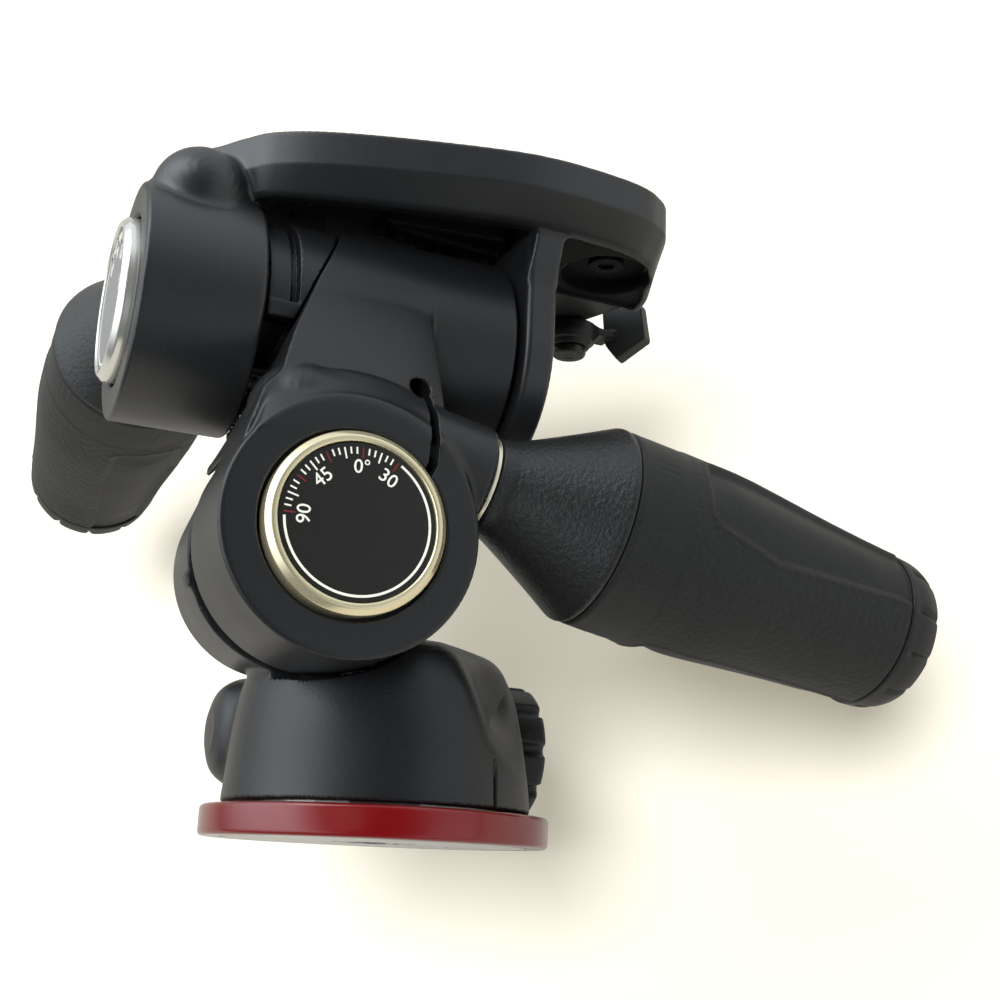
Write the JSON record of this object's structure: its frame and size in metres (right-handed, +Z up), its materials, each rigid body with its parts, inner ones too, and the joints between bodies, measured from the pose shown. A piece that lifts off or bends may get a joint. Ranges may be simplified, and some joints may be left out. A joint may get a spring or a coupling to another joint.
{
  "type": "three way pan tilt head",
  "caption": "Three way pan and tilt head for a tripod: panning base, side tilt joint and roll joint, each locked by a handle or knob, under a quick release camera platform.",
  "frame": {"origin": "centre of the base's underside, on the pan axis and at the mouth of the tripod thread", "axes": "+Z up along the pan axis, +X towards the operator and the tilt handle, -X towards the lens, +Y towards the roll handle; tilt and roll at zero"},
  "size_m": [0.1557, 0.1566, 0.128],
  "materials": {
    "base_lacquer": "gloss lacquer, dark crimson",
    "underside_silver": "turned, bare",
    "steel": "zinc plated, satin",
    "screw_black": "black oxide, satin",
    "body_black": "fine grained, matte black",
    "plate_black": "fine powder coat, matte black",
    "moulded_black": "grained, matte black",
    "grip_rubber": "leather-like grain, dark grey",
    "pad_rubber": "fine ribs, dark grey",
    "shaft_aluminium": "turned, bare",
    "bezel_champagne": "polished, champagne tint",
    "dial_black": "satin black with a printed scale",
    "liner_white": "smooth acetal, off-white",
    "catch_brass": "satin",
    "vial_green": "clear green fluid"
  },
  "bodies": {
    "base": {"base_disc": "base_lacquer", "base_underplate": "underside_silver", "thread_bush": "steel", "pan_spindle": "steel"},
    "pan": {"pan_housing": "body_black", "pan_washer": "liner_white", "pan_liner": "liner_white", "tilt_shaft": "shaft_aluminium", "tilt_retainer": "steel", "tilt_retainer_screw": "steel", "tilt_dial_bezel": "bezel_champagne", "tilt_dial_face": "dial_black"},
    "pan_knob": {"pan_lock_knob": "moulded_black", "pan_lock_bolt": "steel"},
    "tilt": {"tilt_body": "body_black", "tilt_liner": "liner_white", "roll_shaft": "shaft_aluminium", "roll_stop_ring": "body_black", "roll_dial_bezel": "bezel_champagne", "roll_dial_face": "dial_black", "roll_pivot_screw": "steel"},
    "tilt_handle": {"tilt_clamp_bolt": "steel", "tilt_clamp_washer": "steel", "tilt_handle_cone": "moulded_black", "tilt_handle_tube": "shaft_aluminium", "tilt_tube_guide": "liner_white"},
    "tilt_grip": {"tilt_grip_core": "moulded_black", "tilt_grip_sleeve": "grip_rubber", "tilt_grip_cap": "moulded_black"},
    "yoke": {"roll_yoke": "body_black", "roll_liner": "liner_white", "ear_liner": "liner_white", "block_screw": "screw_black", "underside_screw_1": "screw_black", "underside_screw_2": "screw_black", "underside_screw_3": "screw_black", "underside_screw_4": "screw_black", "level_vial_back": "vial_green", "level_vial_side": "vial_green", "lever_pivot_screw": "steel"},
    "roll_handle": {"roll_clamp_bolt": "steel", "roll_clamp_washer": "steel", "roll_handle_cone": "moulded_black", "roll_handle_tube": "shaft_aluminium", "roll_tube_guide": "liner_white"},
    "roll_grip": {"roll_grip_core": "moulded_black", "roll_grip_sleeve": "grip_rubber", "roll_grip_cap": "moulded_black"},
    "lever": {"clamp_lever": "moulded_black"},
    "catch": {"safety_catch": "catch_brass"},
    "plate": {"camera_plate": "plate_black", "plate_pad": "pad_rubber"},
    "camera_bolt": {"camera_screw": "steel"}
  },
  "joints": [
    {"name": "pan_turn", "type": "hinge", "parent": "base", "child": "pan", "pos_m": [0, 0, 0.0052], "axis": [0, 0, 1], "continuous": true},
    {"name": "pan_knob_turn", "type": "hinge", "parent": "pan", "child": "pan_knob", "pos_m": [0, 0.019, 0.0188], "axis": [1, 0, 0], "range_deg": [0, 360]},
    {"name": "tilt_turn", "type": "hinge", "parent": "pan", "child": "tilt", "pos_m": [-0.0181, 0, 0.0467], "axis": [0, -1, 0], "range_deg": [-30, 90]},
    {"name": "tilt_handle_turn", "type": "hinge", "parent": "tilt", "child": "tilt_handle", "pos_m": [-0.01458, -0.0248, 0.06384], "axis": [0.9796, 0, -0.2011], "range_deg": [0, 360]},
    {"name": "tilt_grip_slide", "type": "slide", "parent": "tilt_handle", "child": "tilt_grip", "axis": [0.9796, 0, -0.2011], "range_m": [0, 0.045]},
    {"name": "roll_turn", "type": "hinge", "parent": "tilt", "child": "yoke", "pos_m": [0, 0, 0.09], "axis": [1, 0, 0], "range_deg": [-30, 60]},
    {"name": "roll_handle_turn", "type": "hinge", "parent": "yoke", "child": "roll_handle", "pos_m": [-0.042, 0.00352, 0.10714], "axis": [0, 0.9796, -0.2011], "range_deg": [0, 360]},
    {"name": "roll_grip_slide", "type": "slide", "parent": "roll_handle", "child": "roll_grip", "axis": [0, 0.9796, -0.2011], "range_m": [0, 0.045]},
    {"name": "lever_turn", "type": "hinge", "parent": "yoke", "child": "lever", "pos_m": [0.0445, 0.02, 0.107], "axis": [0, 0, 1], "range_deg": [0, 75], "stiffness_Nm_per_rad": 0.02},
    {"name": "catch_slide", "type": "slide", "parent": "yoke", "child": "catch", "axis": [1, 0, 0], "range_m": [0, 0.004], "stiffness_N_per_m": 150},
    {"name": "plate_lift", "type": "slide", "parent": "yoke", "child": "plate", "axis": [0, 0, 1], "range_m": [0, 0.01]},
    {"name": "camera_screw_turn", "type": "hinge", "parent": "plate", "child": "camera_bolt", "pos_m": [0.014, 0, 0.1145], "axis": [0, 0, 1], "continuous": true}
  ]
}
